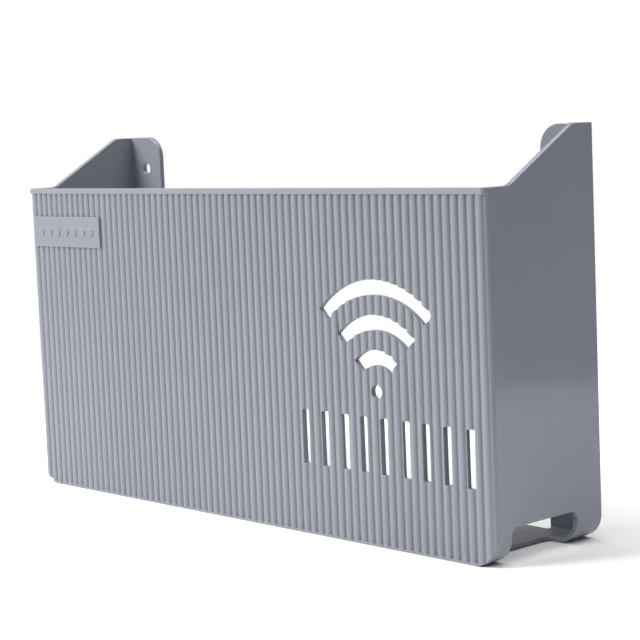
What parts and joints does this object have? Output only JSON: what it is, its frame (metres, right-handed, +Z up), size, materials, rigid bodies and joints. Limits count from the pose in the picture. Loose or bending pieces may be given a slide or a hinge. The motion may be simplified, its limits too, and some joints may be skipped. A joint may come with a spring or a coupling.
{
  "type": "wall-mounted router storage box",
  "caption": "Open-topped, open-backed wall box with a ribbed front, a signal-shaped window, rising rear ears and cable notches, for hiding a home router.",
  "frame": {"origin": "centre of the bounding box at the underside of the floor", "axes": "+Z up, +X along the width towards the signal window's side, +Y towards the wall; the ribbed front faces -Y"},
  "size_m": [0.333, 0.0734, 0.187],
  "materials": {
    "front_plastic": "blue-grey ABS with a fine moulded satin grain on the ribs",
    "shell_plastic": "blue-grey ABS, polished mould face, soft gloss",
    "screw_steel": "zinc-plated steel"
  },
  "bodies": {
    "root": {"front_panel": "front_plastic", "label_plate": "front_plastic", "left_side": "shell_plastic", "right_side": "shell_plastic", "floor_panel": "shell_plastic", "panel_screws": "screw_steel"}
  },
  "joints": []
}
